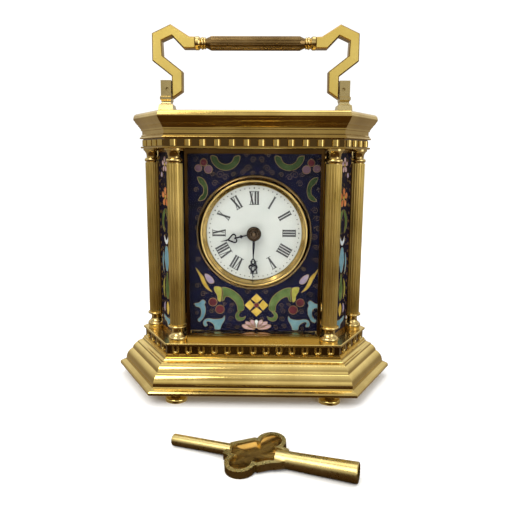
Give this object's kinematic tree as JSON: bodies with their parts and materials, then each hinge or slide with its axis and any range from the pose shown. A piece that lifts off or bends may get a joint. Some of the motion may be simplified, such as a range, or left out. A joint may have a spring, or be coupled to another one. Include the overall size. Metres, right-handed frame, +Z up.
{
  "type": "carriage clock",
  "caption": "Six-sided brass carriage clock with corner columns, enamel panels, white dial, folding bail handle, rear door and separate winding key.",
  "frame": {"origin": "centre of the case's underside, 4 mm above the plane the feet stand on", "axes": "+Z up, -Y out of the dial, +X to the right of someone facing the dial"},
  "size_m": [0.1116, 0.1105, 0.1378],
  "materials": {
    "polished_brass": "polished and lacquered, slightly worn",
    "fluted_brass": "polished, fluted",
    "satin_brass": "satin",
    "bronzed_brass": "toned dark, reeded",
    "cloisonne_enamel": "wired enamel on a dark blue ground, glossy",
    "dial_enamel": "white vitreous enamel, glossy",
    "blued_steel": "blued to near black",
    "clear_glass": "clear, bevelled",
    "movement_brass": "brushed",
    "polished_steel": "polished"
  },
  "bodies": {
    "case": {"base_moulding": "polished_brass", "plinth_dentil_band": "polished_brass", "bottom_plate": "movement_brass", "feet": "polished_brass", "column_front_left": "fluted_brass", "column_front_right": "fluted_brass", "column_side_left": "fluted_brass", "column_side_right": "fluted_brass", "column_rear_left": "fluted_brass", "column_rear_right": "fluted_brass", "column_bases": "polished_brass", "column_capitals": "polished_brass", "cornice": "polished_brass", "cornice_dentil_band": "polished_brass", "top_glass": "clear_glass", "front_frame": "polished_brass", "front_glass": "clear_glass", "dial_mask": "cloisonne_enamel", "dial_bezel": "polished_brass", "dial": "dial_enamel", "enamel_panel_front_left": "cloisonne_enamel", "enamel_panel_front_right": "cloisonne_enamel", "enamel_panel_rear_left": "cloisonne_enamel", "enamel_panel_rear_right": "cloisonne_enamel", "side_panel_frames": "polished_brass", "handle_posts": "satin_brass", "handle_pivot_screws": "polished_steel", "movement_front_plate": "movement_brass", "movement_back_plate": "movement_brass", "movement_pillars": "polished_steel", "platform": "movement_brass", "platform_cocks": "movement_brass"},
    "handle": {"handle_arm_left": "satin_brass", "handle_arm_right": "satin_brass", "handle_grip": "bronzed_brass", "handle_collars": "polished_brass", "handle_tie_rod": "polished_steel"},
    "rear_door": {"rear_door_frame": "polished_brass", "rear_door_glass": "clear_glass", "rear_door_knob": "polished_brass"},
    "centre_arbor": {"centre_wheel": "movement_brass", "cannon_pinion": "movement_brass", "minute_hand": "blued_steel", "hand_washer": "blued_steel"},
    "hour_pipe": {"hour_wheel": "movement_brass", "hour_hand": "blued_steel"},
    "motion_wheel": {"minute_wheel": "movement_brass"},
    "barrel": {"mainspring_barrel": "movement_brass", "mainspring": "polished_steel"},
    "winding_arbor": {"barrel_arbor": "polished_steel", "ratchet_wheel": "polished_steel"},
    "ratchet_click": {"click": "polished_steel"},
    "third_arbor": {"third_wheel": "movement_brass"},
    "contrate_arbor": {"contrate_wheel": "movement_brass"},
    "escape_arbor": {"escape_wheel": "polished_steel"},
    "lever": {"pallet_lever": "polished_steel"},
    "balance": {"balance_wheel": "movement_brass", "hairspring": "polished_steel"},
    "key": {"winding_key": "satin_brass"}
  },
  "joints": [
    {"name": "handle_swing", "type": "hinge", "parent": "case", "child": "handle", "pos_m": [0, 0, 0.1105], "axis": [1, 0, 0], "range_deg": [-104, 104]},
    {"name": "rear_door_swing", "type": "hinge", "parent": "case", "child": "rear_door", "pos_m": [-0.0228, 0.0181, 0.052], "axis": [0, 0, 1], "range_deg": [0, 100]},
    {"name": "centre_arbor_turn", "type": "hinge", "parent": "case", "child": "centre_arbor", "pos_m": [0, 0, 0.0571], "axis": [0, 1, 0], "continuous": true},
    {"name": "hour_hand_turn", "type": "hinge", "parent": "case", "child": "hour_pipe", "pos_m": [0, 0, 0.0571], "axis": [0, 1, 0], "continuous": true},
    {"name": "minute_wheel_turn", "type": "hinge", "parent": "case", "child": "motion_wheel", "pos_m": [0.0084, 0, 0.0571], "axis": [0, 1, 0], "continuous": true},
    {"name": "barrel_turn", "type": "hinge", "parent": "case", "child": "barrel", "pos_m": [0, 0, 0.0376], "axis": [0, 1, 0], "continuous": true},
    {"name": "third_wheel_turn", "type": "hinge", "parent": "case", "child": "third_arbor", "pos_m": [0.0099, 0, 0.067], "axis": [0, 1, 0], "continuous": true},
    {"name": "contrate_wheel_turn", "type": "hinge", "parent": "case", "child": "contrate_arbor", "pos_m": [0, 0, 0.0736], "axis": [0, 1, 0], "continuous": true},
    {"name": "winding_turn", "type": "hinge", "parent": "case", "child": "winding_arbor", "pos_m": [0, 0, 0.0376], "axis": [0, 1, 0], "continuous": true},
    {"name": "click_lift", "type": "hinge", "parent": "case", "child": "ratchet_click", "pos_m": [-0.01009, 0, 0.03693], "axis": [0, -1, 0], "range_deg": [0, 18], "stiffness_Nm_per_rad": 0.0005, "springref_deg": -5.73},
    {"name": "escape_wheel_turn", "type": "hinge", "parent": "case", "child": "escape_arbor", "pos_m": [0, 0.0059, 0.084], "axis": [0, 0, 1], "continuous": true},
    {"name": "lever_rock", "type": "hinge", "parent": "case", "child": "lever", "pos_m": [-0.0052, 0.0032, 0.084], "axis": [0, 0, 1], "range_deg": [-5, 5]},
    {"name": "balance_swing", "type": "hinge", "parent": "case", "child": "balance", "pos_m": [-0.0104, 0.0005, 0.088], "axis": [0, 0, 1], "range_deg": [-220, 220], "stiffness_Nm_per_rad": 0.000003},
    {"name": "key_lift", "type": "slide", "parent": "case", "child": "key", "axis": [0, 0, 1], "range_m": [0, 0.04]}
  ],
  "couplings": [
    {"joint": "hour_hand_turn", "follows": "centre_arbor_turn", "ratio": 0.083333},
    {"joint": "minute_wheel_turn", "follows": "centre_arbor_turn", "ratio": -0.33333},
    {"joint": "barrel_turn", "follows": "centre_arbor_turn", "ratio": -0.18182},
    {"joint": "third_wheel_turn", "follows": "centre_arbor_turn", "ratio": -6},
    {"joint": "contrate_wheel_turn", "follows": "centre_arbor_turn", "ratio": 45}
  ]
}
